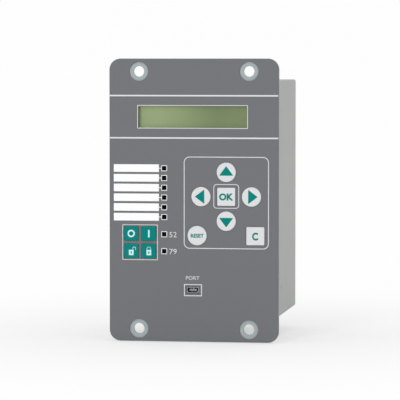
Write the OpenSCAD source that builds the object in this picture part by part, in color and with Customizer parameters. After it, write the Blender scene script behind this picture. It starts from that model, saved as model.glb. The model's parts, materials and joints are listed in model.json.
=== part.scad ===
// Protection relay for flush mounting in a panel door.
// X runs across the front, Y runs into the panel, Z runs up.
// The origin is the middle of the front plate's back face, which lies on the panel door.

/* [Front plate] */
// Width of the front plate
plate_w = 107; // [98:0.2:116]
// Height of the front plate
plate_h = 177; // [165:0.5:190]
// Thickness of the plate's sheet
plate_t = 2; // [1.5:0.1:3]
// Radius of the plate's corners
plate_r = 7; // [3:0.5:9]
// Diameter of the four fixing holes
fixing_d = 6.6; // [5:0.1:8]
// Distance across between the fixing holes
fixing_pitch_x = 69.5; // [55:0.5:80]
// Distance from the plate's top and bottom edges to the fixing holes
fixing_edge = 8; // [7:0.25:9]

/* [Overlay film] */
// Thickness of the film with its spacer and adhesive layers
film_t = 0.8; // [0.6:0.05:1.2]
// Rim of bare plate around the film
film_rim = 0.2; // [0.1:0.05:1]
// Diameter of the bare ring around each fixing hole
relief_d = 11.75; // [9:0.25:13]

/* [Display] */
// Across position of the display window
window_x = -0.8; // [-3:0.1:3]
// Width of the display window
window_w = 69; // [56:0.5:72]
// Height of the display window
window_h = 13.85; // [12:0.05:18]
// Lap of the clear window on the plate
window_lap = 0.45; // [0.3:0.05:1.5]
// Gap between a loose flat piece and the opening it drops into
seat_gap = 0.05; // [0.02:0.01:0.2]
// Metal of the display bezel beside the window
bezel_side = 1.75; // [1.2:0.05:3]
// Metal of the display bezel above and below the window
bezel_top = 5.3; // [3:0.05:7]
// Thickness of the bezel's sheet
bezel_t = 0.6; // [0.4:0.1:1]
// Gap between the plate and the bezel
bezel_back = 2; // [1:0.1:3]
// Thickness of the display glass
glass_t = 2.2; // [1.6:0.1:2.6]
// Board beside the bezel
lcd_board_side = 4; // [3:0.1:6]
// Distance from the display board's edges to its screw holes
lcd_hole_edge = 2.5; // [2.2:0.1:3.5]
// Gap between the display board and the sleeve's top wall
lcd_top_gap = 3.4; // [1:0.05:5]
// Width of the flat link between display board and operator board
link_w = 40; // [20:1:60]
// Thickness of the flat link
link_t = 0.4; // [0.2:0.1:0.8]
// Lap of the flat link on each board
link_lap = 4; // [2:0.5:6]

/* [Keypad] */
// Distance from the plate's right edge to the arrow keys' centre
pad_side = 32.95; // [31:0.05:35]
// Height position of the arrow keys' centre
pad_z = 2.5; // [0:0.1:4]
// Distance from the confirm key to the left and right keys
pad_reach_x = 15.9; // [14:0.1:17]
// Distance from the confirm key to the up and down keys
pad_reach_z = 15.25; // [13.5:0.05:16.5]
// Distance across from the confirm key to the reset and clear keys
corner_reach = 18.35; // [16:0.05:19.5]
// Distance down from the confirm key to the reset and clear keys
corner_drop = 24.4; // [22:0.1:28]
// Diameter of the round keys
round_key_d = 12.1; // [10:0.1:13]
// Side of the square confirm and clear keys
square_key_w = 11.35; // [9:0.05:13]
// Corner radius of the square keys
square_key_r = 0.7; // [0.3:0.1:2]

/* [Command keys] */
// Distance from the plate's left edge to the middle of the four command keys
command_side = 19.55; // [18:0.05:21]
// Height position of the middle of the four command keys
command_z = -26.4; // [-30:0.1:-26]
// Distance across between command keys
command_pitch_x = 11.2; // [10.2:0.1:12]
// Distance up between command keys
command_pitch_z = 10.9; // [10.2:0.1:12]
// Side of a command key
command_key_w = 8.95; // [8:0.05:9.6]
// Corner radius of a command key
command_key_r = 0.5; // [0.2:0.1:1.5]

/* [Key action] */
// How far a key stands proud of the film
key_proud = 0.4; // [0.4:0.05:0.8]
// How far a key travels
key_travel = 0.4; // [0.2:0.05:0.5]
// Gap left under a key that is fully pressed
key_stop_gap = 0.1; // [0.05:0.05:0.3]
// Gap around a key in the film
key_gap = 0.25; // [0.15:0.05:0.4]
// Diameter of a key's stem
stem_d = 4.5; // [3.5:0.1:5.5]
// Gap around a stem or plunger in its hole
slide_gap = 0.3; // [0.2:0.05:0.4]

/* [Switches] */
// Side of a switch housing
switch_w = 6; // [5.8:0.1:7.5]
// Height of a switch housing above its board
switch_h = 4.3; // [3.8:0.1:5]
// Diameter of a switch plunger
plunger_d = 3; // [2:0.1:3.4]
// How far a plunger stands out of its housing
plunger_out = 1.5; // [1:0.1:2]
// How far the plunger's collar stands out all round
collar_step = 0.7; // [0.5:0.05:0.8]
// Thickness of the plunger's collar
collar_t = 0.8; // [0.5:0.1:1.2]
// Thickness of the housing's roof and floor
switch_skin = 0.7; // [0.4:0.1:0.9]

/* [Indicators] */
// Distance from the plate's left edge to the indicators
led_side = 34.85; // [32:0.05:36]
// Number of indicators beside the label strips
led_count = 6; // [3:1:6]
// Distance between those indicators
led_pitch = 6.1; // [5.6:0.1:7]
// Height position of the middle of the row
led_z = 4.8; // [3:0.1:6]
// Distance between the two indicators beside the command keys
state_pitch = 10.6; // [9:0.1:12]
// How far the middle of that pair lies below the middle of the command keys
state_drop = 0.15; // [0:0.05:0.6]
// Side of an indicator lens
lens_w = 2.7; // [2:0.1:3.2]
// Width of the lens shoulder behind the plate
lens_shoulder = 0.75; // [0.4:0.05:1]
// Thickness of the lens shoulder
lens_shoulder_t = 0.8; // [0.4:0.1:1]
// Diameter of a light emitting diode
led_d = 3; // [2:0.1:3.2]
// Gap between a lens and its diode
led_gap = 0.5; // [0.3:0.1:0.8]
// Height of the diode's foot
led_foot = 1; // [0.5:0.1:1.5]
// How far the diode's foot stands out all round
led_foot_step = 0.3; // [0.2:0.05:0.6]

/* [Label strips] */
// Height of a label strip
label_h = 4.75; // [4:0.05:5.4]
// Thickness of a label strip
label_t = 0.12; // [0.08:0.02:0.3]
// Gap from the plate's edge to the strips
label_edge = 2.9; // [1.5:0.05:8]
// Gap from the strips to the lenses
label_gap = 2; // [1.2:0.1:4]

/* [Local port] */
// Across position of the port
port_x = -0.6; // [-6:0.1:6]
// Height of the port above the sleeve's underside
port_rise = 18.65; // [16:0.05:26]
// Outside width of the port's shell
port_w = 7.7; // [6.5:0.1:9]
// Outside height of the port's shell
port_h = 3.9; // [3.4:0.1:5]
// Slanted corner of the port's shell
port_corner = 0.8; // [0.4:0.1:1.2]
// Thickness of the shell's sheet
port_wall = 0.4; // [0.2:0.05:0.5]
// Gap around the shell in the plate
port_gap = 0.3; // [0.2:0.05:0.6]
// How far the shell's mouth lies behind the film's front
port_set_back = 0.5; // [0.2:0.1:1]
// Width of the port's tongue
tongue_w = 4.6; // [3.5:0.1:5]
// Thickness of the port's tongue
tongue_t = 1.1; // [0.8:0.1:1.4]
// How far the tongue lies behind the mouth
tongue_set_back = 1.2; // [0.5:0.1:2]
// Thickness of the insulator behind the tongue
tongue_root = 3; // [2:0.1:4]

/* [Boards and their fasteners] */
// Thickness of the circuit boards
board_t = 1.6; // [1:0.1:2]
// Distance from the plate's back to the boards behind it
board_back = 7; // [6.6:0.1:9]
// Gap between the operator board and the sleeve's walls
board_side_gap = 1; // [0.5:0.1:3]
// Gap between display board and operator board
board_split = 1.4; // [0.8:0.1:3]
// Height of the operator board's lower edge above the sleeve's floor
board_floor_gap = 10; // [6:0.5:12]
// Distance from the operator board's edges to its screw holes
board_hole_edge = 4.5; // [3.5:0.1:7]
// Diameter of the standoffs
standoff_d = 5.5; // [4.5:0.1:6]
// Diameter of the board screws
screw_d = 2.5; // [2:0.1:3]
// Diameter of a board screw's head
screw_head_d = 5; // [4.2:0.1:5.6]
// Height of a board screw's head
screw_head_h = 1.8; // [1.2:0.1:2.4]
// Length of a screw below the board or sheet it holds
screw_grip = 4; // [3:0.1:5]
// Gap around a screw or stud in the part it is turned into
thread_gap = 0.05; // [0.02:0.01:0.1]
// Gap around a screw or stud in the part it holds
clear_gap = 0.2; // [0.1:0.05:0.4]
// Depth of a cross slot in a screw's head
slot_depth = 0.8; // [0.5:0.1:1]
// Width of a slot in a screw's head
slot_w = 0.8; // [0.5:0.1:1]

/* [Sleeve and rear plate] */
// How far the plate stands past the sleeve on each side
overhang_x = 3; // [2:0.1:6]
// How far the plate stands past the sleeve at top and bottom
overhang_z = 13.75; // [12.75:0.25:16]
// Depth of the case behind the plate
case_depth = 108; // [100:1:130]
// Thickness of the sleeve's sheet
case_t = 1.2; // [0.8:0.1:1.6]
// Inside radius of the sleeve's folds
bend_in = 0.2; // [0.1:0.1:1.5]
// Side of the tabs folded inwards
tab_w = 8; // [7.5:0.1:9]
// Distance up between the front tabs
tab_pitch_z = 90; // [84:1:94]
// Gap between the rear tabs and the sleeve's top and bottom walls
rear_tab_gap = 3.5; // [1:0.1:6]
// Thickness of the rear plate
rear_t = 1.5; // [1:0.1:2]
// Diameter of the studs and rear screws
stud_d = 3; // [2.5:0.1:3.5]
// Length of the studs
stud_h = 6; // [4.5:0.1:6.4]
// Width across the flats of a stud's nut
nut_w = 5.5; // [5:0.1:6]
// Height of a stud's nut
nut_h = 2.4; // [1.8:0.1:2.8]

/* [Earth terminal] */
// Diameter of the earth stud
earth_d = 5; // [4:0.1:6]
// Length of the earth stud behind the rear plate
earth_l = 16; // [12:0.5:20]
// Distance from the earth stud to the sleeve's right wall
earth_side = 8.3; // [7.5:0.1:10]
// Height of the earth stud above the sleeve's underside
earth_rise = 24; // [20:0.5:40]
// Diameter of the earth stud's head
earth_head_d = 8; // [7:0.1:10]
// Thickness of the earth stud's head
earth_head_t = 1.5; // [1:0.1:2]
// Diameter of the earth washer
washer_d = 10; // [9:0.1:12]
// Thickness of the earth washer
washer_t = 1; // [0.8:0.1:1.5]
// Width across the flats of the earth nut
earth_nut_w = 8; // [7.5:0.1:10]
// Height of the earth nut
earth_nut_h = 4; // [3:0.1:5]

/* [Cards inside] */
// Distance from the plate's back to the front edge of the cards
card_front = 20; // [19:0.5:24]
// Gap between the cards and the rear plate
card_rear_gap = 5; // [4:0.1:8]
// Room between the sleeve's left wall and the input card
input_bay = 24.3; // [16:0.1:26]
// Room between the sleeve's right wall and the output card
output_bay = 27.3; // [25:0.1:28]
// Width of a card guide
guide_w = 6; // [4:0.1:8]
// Height of a card guide
guide_h = 5; // [4:0.1:6]
// Depth of the groove in a card guide
groove_depth = 2.5; // [1.5:0.1:3]
// Gap between a card and its groove
groove_gap = 0.1; // [0.05:0.05:0.2]
// Outside diameter of a ring transformer
ring_d = 26; // [20:0.5:28]
// Bore of a ring transformer
ring_bore = 9; // [6:0.5:12]
// Height of a ring transformer on its card
ring_h = 14; // [10:0.5:16]
// Number of ring transformers
ring_count = 4; // [2:1:4]
// Gap between neighbouring components
part_gap = 3; // [1:0.5:4]
// Length of an output relay
relay_l = 29; // [24:0.5:31]
// Width of an output relay
relay_w = 13; // [10:0.5:16]
// Height of an output relay on its card
relay_h = 16; // [12:0.5:20]
// Number of output relays
relay_count = 4; // [2:1:4]
// Width of the supply transformer's core
core_w = 24; // [18:0.5:28]
// Length of the supply transformer's core
core_l = 28; // [22:0.5:34]
// Height of the supply transformer on its card
core_h = 18; // [14:0.5:21]
// How far the winding stands out of the core
winding_out = 2.5; // [1.5:0.1:4]
// Diameter of a supply capacitor
cap_d = 16; // [10:0.5:18]
// Height of a supply capacitor on its card
cap_h = 22; // [15:0.5:23]
// Number of supply capacitors
cap_count = 2; // [1:1:3]

/* [Ribbon cable] */
// Width of the ribbon
ribbon_w = 20; // [12:0.5:26]
// Thickness of the ribbon
ribbon_t = 0.9; // [0.6:0.1:1.2]
// Radius of the ribbon's bend at its middle
ribbon_r = 8; // [5:0.5:10]
// Straight length of ribbon at the output card
ribbon_lead = 2; // [1:0.1:3]
// Height position of the ribbon's middle
ribbon_z = -30; // [-45:1:10]
// Height of a ribbon header
header_h = 6; // [4:0.1:7]
// Width of a ribbon header
header_w = 6.5; // [5:0.1:8]
// Length of a header past the ribbon at each end
header_end = 1; // [0.5:0.1:3]

/* [Terminal blocks] */
// Width of a terminal block
block_w = 18; // [16:0.5:19]
// How far a block stands out behind the rear plate
block_out = 8; // [4:0.5:12]
// How far a block reaches into the case
block_in = 14; // [12:0.5:18]
// Gap around a block in the rear plate
block_gap = 0.4; // [0.2:0.05:1]
// Number of current terminals
current_poles = 8; // [4:1:9]
// Distance between current terminals
current_pitch = 9.5; // [8:0.1:10.5]
// Number of terminals in one signal block
signal_poles = 10; // [4:1:11]
// Distance between signal terminals
signal_pitch = 5.08; // [4.8:0.02:5.6]
// Gap between the two signal blocks
signal_split = 10; // [4:0.5:14]
// Solid end of each block
block_end = 2; // [1.5:0.1:3]
// Side of a wire entry
entry_w = 3.6; // [2.5:0.1:3.9]
// Depth of a wire entry
entry_depth = 12; // [8:0.5:14]
// Diameter of a terminal screw
clamp_d = 3.6; // [3:0.1:3.9]
// Length of a terminal screw
clamp_l = 6; // [4:0.5:8]
// How far a terminal screw lies below the block's face
clamp_sink = 1; // [0.5:0.1:2]
// Distance of screws and wire entries from the block's middle
clamp_offset = 4; // [3:0.1:5]

/* [Hidden] */
$fn = 64;
// How far a cutting tool runs past the face it cuts
over = 1;
// How far a cut runs past a face that another cut leaves open
nick = 0.01;

// Depths of the front layers
film_front = -plate_t - film_t;
key_front = film_front - key_proud;
key_back = -plate_t - key_travel - key_stop_gap;
label_front = film_front - label_t;

// Sleeve
case_w = plate_w - 2 * overhang_x;
case_h = plate_h - 2 * overhang_z;
bend_r = bend_in + case_t;
inner_x = case_w / 2 - case_t;
inner_z = case_h / 2 - case_t;
case_floor = -case_h / 2;
sleeve_end = case_depth - rear_t;
tab_x = inner_x - tab_w / 2;
rear_tab_z = inner_z - rear_tab_gap - tab_w / 2;
front_tab_points = [for (sx = [-1, 1], sz = [-1, 1]) [sx * tab_x, sz * tab_pitch_z / 2]];
rear_tab_points = [for (sx = [-1, 1], sz = [-1, 1]) [sx * tab_x, sz * rear_tab_z]];

// Fixing holes
fixing_pitch_z = plate_h - 2 * fixing_edge;
fixing_points = [for (sx = [-1, 1], sz = [-1, 1]) [sx * fixing_pitch_x / 2, sz * fixing_pitch_z / 2]];

// Display, hung from the sleeve's top wall
bezel_w = window_w + 2 * bezel_side;
bezel_h = window_h + 2 * bezel_top;
lcd_board_w = bezel_w + 2 * lcd_board_side;
lcd_board_h = bezel_h + 2 * (lcd_hole_edge + standoff_d / 2 + clear_gap + slide_gap);
window_z = inner_z - lcd_top_gap - lcd_board_h / 2;
glass_front = bezel_back + bezel_t;
glass_w = bezel_w - 2 * bezel_t - 2 * seat_gap;
glass_h = bezel_h - 2 * bezel_t - 2 * seat_gap;
lcd_hole_points = [for (sx = [-1, 1], sz = [-1, 1])
    [window_x + sx * (lcd_board_w / 2 - lcd_hole_edge),
        window_z + sz * (lcd_board_h / 2 - lcd_hole_edge)]];

// Operator board
board_end = board_back + board_t;
operator_x = inner_x - board_side_gap;
operator_top = window_z - lcd_board_h / 2 - board_split;
operator_floor = -inner_z + board_floor_gap;
operator_hole_points = [for (sx = [-1, 1],
        z = [operator_floor + board_hole_edge, operator_top - board_hole_edge])
    [sx * (operator_x - board_hole_edge), z]];
board_hole_points = concat(lcd_hole_points, operator_hole_points);

// Keys
pad_x = plate_w / 2 - pad_side;
command_x = -plate_w / 2 + command_side;
at_up = [pad_x, pad_z + pad_reach_z];
at_down = [pad_x, pad_z - pad_reach_z];
at_left = [pad_x - pad_reach_x, pad_z];
at_right = [pad_x + pad_reach_x, pad_z];
at_confirm = [pad_x, pad_z];
at_reset = [pad_x - corner_reach, pad_z - corner_drop];
at_clear = [pad_x + corner_reach, pad_z - corner_drop];
at_open = [command_x - command_pitch_x / 2, command_z + command_pitch_z / 2];
at_close = [command_x + command_pitch_x / 2, command_z + command_pitch_z / 2];
at_unlock = [command_x - command_pitch_x / 2, command_z - command_pitch_z / 2];
at_lock = [command_x + command_pitch_x / 2, command_z - command_pitch_z / 2];
round_key_points = [at_up, at_down, at_left, at_right, at_reset];
square_key_points = [at_confirm, at_clear];
command_key_points = [at_open, at_close, at_unlock, at_lock];
key_points = concat(round_key_points, square_key_points, command_key_points);

// Switches
switch_front = board_back - switch_h;
plunger_tip = switch_front - plunger_out;
collar_front = switch_front + switch_skin;
collar_d = plunger_d + 2 * collar_step;

// Indicators
led_x = -plate_w / 2 + led_side;
row_z = [for (i = [0 : led_count - 1]) led_z + ((led_count - 1) / 2 - i) * led_pitch];
led_points = concat([for (z = row_z) [led_x, z]],
    [for (sz = [1, -1]) [led_x, command_z - state_drop + sz * state_pitch / 2]]);
lens_back = lens_shoulder_t;
led_tip = lens_back + led_gap;

// Label strips
label_left = -plate_w / 2 + label_edge;
label_right = led_x - lens_w / 2 - label_gap;

// Port
port_z = case_floor + port_rise;
port_front = film_front + port_set_back;

// Cards
card_rear = sleeve_end - card_rear_gap;
card_z = inner_z - guide_h + groove_depth - groove_gap;
input_x = -inner_x + input_bay;
output_x = inner_x - output_bay;
input_face = input_x + board_t / 2;
output_face = output_x + board_t / 2;
output_inner = output_x - board_t / 2;
guide_rear = sleeve_end - case_t - part_gap;
relay_y = card_rear - part_gap - relay_w / 2;
core_y = card_front + part_gap + winding_out + core_w / 2;
cap_y = card_front + part_gap + cap_d / 2;

// Ribbon
header_x = output_inner - header_h;
ribbon_x = header_x - ribbon_lead - ribbon_r;
ribbon_end_y = max(card_front + header_w / 2, board_end + header_h + ribbon_r);

// Terminal blocks
block_face = case_depth + block_out;
block_front = sleeve_end - block_in;
current_x = input_face + block_w / 2;
signal_x = output_inner - block_w / 2;
current_l = current_poles * current_pitch + 2 * block_end;
signal_l = signal_poles * signal_pitch + 2 * block_end;
signal_mid = (signal_l + signal_split) / 2;
clamp_face = block_face - clamp_sink;

// Earth terminal
earth_x = inner_x - earth_side;
earth_z = case_floor + earth_rise;

// Flat outline in x and z, thickened between two depths
module slab(y0, y1) {
    translate([0, y1, 0]) rotate([90, 0, 0]) linear_extrude(y1 - y0) children();
}

// Round bar along the depth
module rod(at, y0, y1, d) {
    translate([at[0], y1, at[1]]) rotate([90, 0, 0]) cylinder(h = y1 - y0, d = d);
}

// Six-sided bar along the depth, measured across its flats
module hex_rod(at, y0, y1, w) {
    translate([at[0], y1, at[1]]) rotate([90, 0, 0]) cylinder(h = y1 - y0, d = w / cos(30), $fn = 6);
}

// Box given by its width and height about a point, and two depths
module post(at, y0, y1, w, h) {
    translate([at[0] - w / 2, y0, at[1] - h / 2]) cube([w, y1 - y0, h]);
}

// Rectangle with round corners
module rounded(w, h, r) {
    square([w - 2 * r, h], center = true);
    square([w, h - 2 * r], center = true);
    for (sx = [-1, 1], sz = [-1, 1]) translate([sx * (w / 2 - r), sz * (h / 2 - r)]) circle(r);
}

// Outline of the port's shell, drawn in from its outside by a margin
module port_outline(margin) {
    w = port_w / 2 - margin;
    h = port_h / 2 - margin;
    translate([port_x, port_z])
        polygon([[-w, h], [w, h], [w, port_corner - h], [w - port_corner, -h],
            [port_corner - w, -h], [-w, port_corner - h]]);
}

// Front plate
module front_plate() {
    color([0.62, 0.65, 0.64]) difference() {
        slab(-plate_t, 0) rounded(plate_w, plate_h, plate_r);
        for (at = fixing_points) rod(at, -plate_t - over, over, fixing_d);
        for (at = key_points) rod(at, -plate_t - over, over, stem_d + 2 * slide_gap);
        for (at = led_points) post(at, -plate_t - over, over, lens_w, lens_w);
        post([window_x, window_z], -plate_t - over, over, window_w, window_h);
        slab(-plate_t - over, over) port_outline(-port_gap);
    }
}

// Overlay film with its openings
module overlay_film() {
    y0 = film_front - over;
    y1 = -plate_t + over;
    color([0.46, 0.465, 0.48]) difference() {
        slab(film_front, -plate_t)
            rounded(plate_w - 2 * film_rim, plate_h - 2 * film_rim, plate_r - film_rim);
        for (at = fixing_points) rod(at, y0, y1, relief_d);
        for (at = round_key_points) rod(at, y0, y1, round_key_d + 2 * key_gap);
        for (at = square_key_points) key_opening(at, y0, y1, square_key_w, square_key_r);
        for (at = command_key_points) key_opening(at, y0, y1, command_key_w, command_key_r);
        for (at = led_points) post(at, y0, y1, lens_w, lens_w);
        post([window_x, window_z], y0, y1, window_w + 2 * window_lap, window_h + 2 * window_lap);
        slab(y0, y1) port_outline(-port_gap);
    }
}

// Opening in the film for one square key
module key_opening(at, y0, y1, w, r) {
    slab(y0, y1) translate(at) rounded(w + 2 * key_gap, w + 2 * key_gap, r + key_gap);
}

// Clear window over the display
module display_window() {
    w = window_w + 2 * window_lap - 2 * seat_gap;
    h = window_h + 2 * window_lap - 2 * seat_gap;
    color([0.85, 0.9, 0.85, 0.35]) post([window_x, window_z], film_front, -plate_t, w, h);
}

// White strips to write on
module label_strips() {
    w = label_right - label_left;
    color("white") for (z = row_z) post([label_left + w / 2, z], label_front, film_front, w, label_h);
}

// Dark square lenses with a shoulder behind the plate
module indicator_lenses() {
    w = lens_w - 2 * seat_gap;
    color([0.04, 0.04, 0.05]) for (at = led_points) {
        post(at, film_front, lens_back, w, w);
        post(at, 0, lens_shoulder_t, w + 2 * lens_shoulder, w + 2 * lens_shoulder);
    }
}

// Stem that carries a key's travel through the plate
module key_stem(at) {
    rod(at, key_back - nick, plunger_tip, stem_d);
}

// Round key with its stem
module round_key(at) {
    rod(at, key_front, key_back, round_key_d);
    key_stem(at);
}

// Square key with its stem
module square_key(at, w, r) {
    slab(key_front, key_back) translate(at) rounded(w, w, r);
    key_stem(at);
}

module key_up() { color([0.88, 0.88, 0.89]) round_key(at_up); }
module key_down() { color([0.88, 0.88, 0.89]) round_key(at_down); }
module key_left() { color([0.88, 0.88, 0.89]) round_key(at_left); }
module key_right() { color([0.88, 0.88, 0.89]) round_key(at_right); }
module key_reset() { color([0.88, 0.88, 0.89]) round_key(at_reset); }
module key_confirm() { color([0.88, 0.88, 0.89]) square_key(at_confirm, square_key_w, square_key_r); }
module key_clear() { color([0.88, 0.88, 0.89]) square_key(at_clear, square_key_w, square_key_r); }
module key_open() { color([0.02, 0.52, 0.48]) square_key(at_open, command_key_w, command_key_r); }
module key_close() { color([0.02, 0.52, 0.48]) square_key(at_close, command_key_w, command_key_r); }
module key_unlock() { color([0.02, 0.52, 0.48]) square_key(at_unlock, command_key_w, command_key_r); }
module key_lock() { color([0.02, 0.52, 0.48]) square_key(at_lock, command_key_w, command_key_r); }

// Plunger with a collar that keeps it in its housing
module plunger(at) {
    rod(at, plunger_tip, collar_front + collar_t, plunger_d);
    rod(at, collar_front, collar_front + collar_t, collar_d);
}

module plunger_up() { color("ivory") plunger(at_up); }
module plunger_down() { color("ivory") plunger(at_down); }
module plunger_left() { color("ivory") plunger(at_left); }
module plunger_right() { color("ivory") plunger(at_right); }
module plunger_reset() { color("ivory") plunger(at_reset); }
module plunger_confirm() { color("ivory") plunger(at_confirm); }
module plunger_clear() { color("ivory") plunger(at_clear); }
module plunger_open() { color("ivory") plunger(at_open); }
module plunger_close() { color("ivory") plunger(at_close); }
module plunger_unlock() { color("ivory") plunger(at_unlock); }
module plunger_lock() { color("ivory") plunger(at_lock); }

// Housings of the eleven key switches
module switch_housings() {
    color([0.12, 0.12, 0.13]) for (at = key_points) difference() {
        post(at, switch_front, board_back, switch_w, switch_w);
        rod(at, switch_front - over, collar_front + nick, plunger_d + 2 * slide_gap);
        rod(at, collar_front, board_back - switch_skin, collar_d + 2 * slide_gap);
    }
}

// Light emitting diodes behind the lenses
module indicator_diodes() {
    color([0.75, 0.2, 0.16]) for (at = led_points) {
        rod(at, led_tip + led_d / 2, board_back, led_d);
        translate([at[0], led_tip + led_d / 2, at[1]]) sphere(d = led_d);
        rod(at, board_back - led_foot, board_back, led_d + 2 * led_foot_step);
    }
}

// Board that carries the switches, diodes and port
module operator_board() {
    h = operator_top - operator_floor;
    color([0.06, 0.3, 0.16]) difference() {
        post([0, operator_floor + h / 2], board_back, board_end, 2 * operator_x, h);
        for (at = operator_hole_points)
            rod(at, board_back - over, board_end + over, screw_d + 2 * clear_gap);
    }
}

// Standoffs pressed into the back of the plate
module standoffs() {
    color("silver") for (at = board_hole_points) difference() {
        rod(at, 0, board_back, standoff_d);
        rod(at, board_back - screw_grip - over, board_back + over, screw_d + 2 * thread_gap);
    }
}

// Screw with a slotted head; y_head is the face its head bears on
module slotted_screw(at, y_head, length, d, head_d, head_h) {
    difference() {
        union() {
            rod(at, y_head - length, y_head + nick, d);
            rod(at, y_head, y_head + head_h, head_d);
        }
        post(at, y_head + head_h - slot_depth, y_head + head_h + over, head_d + over, slot_w);
    }
}

// Screws of the display board and the operator board
module board_screws() {
    color("silver") for (at = board_hole_points)
        slotted_screw(at, board_end, board_t + screw_grip, screw_d, screw_head_d, screw_head_h);
}

// Metal frame around the display glass
module display_bezel() {
    at = [window_x, window_z];
    color([0.1, 0.1, 0.11]) difference() {
        post(at, bezel_back, board_back, bezel_w, bezel_h);
        post(at, glass_front, board_back + over, bezel_w - 2 * bezel_t, bezel_h - 2 * bezel_t);
        post(at, bezel_back - over, glass_front + nick, window_w, window_h);
    }
}

// Display glass
module display_glass() {
    at = [window_x, window_z];
    color([0.5, 0.57, 0.42]) post(at, glass_front, glass_front + glass_t, glass_w, glass_h);
}

// Light behind the glass
module display_backlight() {
    at = [window_x, window_z];
    color([0.85, 0.87, 0.75]) post(at, glass_front + glass_t, board_back, glass_w, glass_h);
}

// Board behind the display
module display_board() {
    color([0.06, 0.3, 0.16]) difference() {
        post([window_x, window_z], board_back, board_end, lcd_board_w, lcd_board_h);
        for (at = lcd_hole_points) rod(at, board_back - over, board_end + over, screw_d + 2 * clear_gap);
    }
}

// Flat link soldered to the backs of display board and operator board
module display_link() {
    h = board_split + 2 * link_lap;
    at = [window_x, operator_top + board_split / 2];
    color([0.75, 0.6, 0.3]) post(at, board_end, board_end + link_t, link_w, h);
}

// Shell of the local port
module port_shell() {
    color("silver") difference() {
        slab(port_front, board_back) port_outline(0);
        slab(port_front - over, board_back + over) port_outline(port_wall);
    }
}

// Insulator of the local port with its tongue
module port_tongue() {
    root_front = board_back - tongue_root;
    color([0.1, 0.1, 0.11]) {
        slab(root_front, board_back) port_outline(port_wall + seat_gap);
        post([port_x, port_z], port_front + tongue_set_back, root_front + nick, tongue_w, tongue_t);
    }
}

// Quarter turn of the ribbon, seen from above
module ribbon_bend() {
    intersection() {
        difference() {
            circle(ribbon_r + ribbon_t / 2);
            circle(ribbon_r - ribbon_t / 2);
        }
        translate([-2 * ribbon_r, 0]) square(2 * ribbon_r);
    }
}

// Ribbon from the operator board round to the output card
module ribbon_cable() {
    y_start = board_end + header_h;
    y_bend = ribbon_end_y - ribbon_r;
    color([0.62, 0.63, 0.65]) translate([0, 0, ribbon_z - ribbon_w / 2]) linear_extrude(ribbon_w) {
        translate([ribbon_x - ribbon_t / 2, y_start]) square([ribbon_t, y_bend - y_start + nick]);
        translate([ribbon_x + ribbon_r, y_bend]) ribbon_bend();
        translate([ribbon_x + ribbon_r - nick, ribbon_end_y - ribbon_t / 2])
            square([ribbon_lead + nick, ribbon_t]);
    }
}

// Headers that the ribbon plugs into
module ribbon_headers() {
    l = ribbon_w + 2 * header_end;
    color([0.1, 0.1, 0.11]) {
        post([ribbon_x, ribbon_z], board_end, board_end + header_h, header_w, l);
        translate([header_x, ribbon_end_y - header_w / 2, ribbon_z - l / 2]) cube([header_h, header_w, l]);
    }
}

// Tab folded inwards from a side wall, reaching from the wall to its free edge
module wall_tab(at, y0) {
    reach = at[0] > 0 ? nick : -nick;
    post([at[0] + reach, at[1]], y0, y0 + case_t, tab_w, tab_w);
}

// Folded sheet sleeve with its tabs
module case_sleeve() {
    color([0.68, 0.69, 0.68]) difference() {
        union() {
            difference() {
                slab(0, sleeve_end) rounded(case_w, case_h, bend_r);
                slab(-over, sleeve_end + over) rounded(2 * inner_x, 2 * inner_z, bend_in);
            }
            for (at = front_tab_points) wall_tab(at, 0);
            for (at = rear_tab_points) wall_tab(at, sleeve_end - case_t);
        }
        for (at = front_tab_points) rod(at, -over, case_t + over, stud_d + 2 * clear_gap);
        for (at = rear_tab_points)
            rod(at, sleeve_end - case_t - over, sleeve_end + over, stud_d + 2 * thread_gap);
    }
}

// Studs pressed into the back of the plate
module plate_studs() {
    color("silver") for (at = front_tab_points) rod(at, 0, stud_h, stud_d);
}

// Nuts that hold the sleeve to the plate
module stud_nuts() {
    color("silver") for (at = front_tab_points) difference() {
        hex_rod(at, case_t, case_t + nut_h, nut_w);
        rod(at, case_t - over, case_t + nut_h + over, stud_d + 2 * thread_gap);
    }
}

// Rear plate with openings for the terminal blocks
module rear_plate() {
    y0 = sleeve_end - over;
    y1 = case_depth + over;
    w = block_w + 2 * block_gap;
    color([0.68, 0.69, 0.68]) difference() {
        slab(sleeve_end, case_depth) rounded(case_w, case_h, bend_r);
        post([current_x, 0], y0, y1, w, current_l + 2 * block_gap);
        for (sz = [-1, 1]) post([signal_x, sz * signal_mid], y0, y1, w, signal_l + 2 * block_gap);
        for (at = rear_tab_points) rod(at, y0, y1, stud_d + 2 * clear_gap);
        rod([earth_x, earth_z], y0, y1, earth_d + 2 * thread_gap);
    }
}

// Screws of the rear plate
module rear_screws() {
    length = rear_t + case_t + screw_grip;
    color("silver") for (at = rear_tab_points)
        slotted_screw(at, case_depth, length, stud_d, screw_head_d, screw_head_h);
}

// Earth stud with its flat head inside the rear plate
module earth_stud() {
    at = [earth_x, earth_z];
    color([0.8, 0.68, 0.35]) {
        rod(at, sleeve_end - nick, case_depth + earth_l, earth_d);
        rod(at, sleeve_end - earth_head_t, sleeve_end, earth_head_d);
    }
}

// Washer under the earth nut
module earth_washer() {
    at = [earth_x, earth_z];
    color("silver") difference() {
        rod(at, case_depth, case_depth + washer_t, washer_d);
        rod(at, case_depth - over, case_depth + washer_t + over, earth_d + 2 * clear_gap);
    }
}

// Earth nut
module earth_nut() {
    at = [earth_x, earth_z];
    y0 = case_depth + washer_t;
    color([0.8, 0.68, 0.35]) difference() {
        hex_rod(at, y0, y0 + earth_nut_h, earth_nut_w);
        rod(at, y0 - over, y0 + earth_nut_h + over, earth_d + 2 * thread_gap);
    }
}

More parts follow.
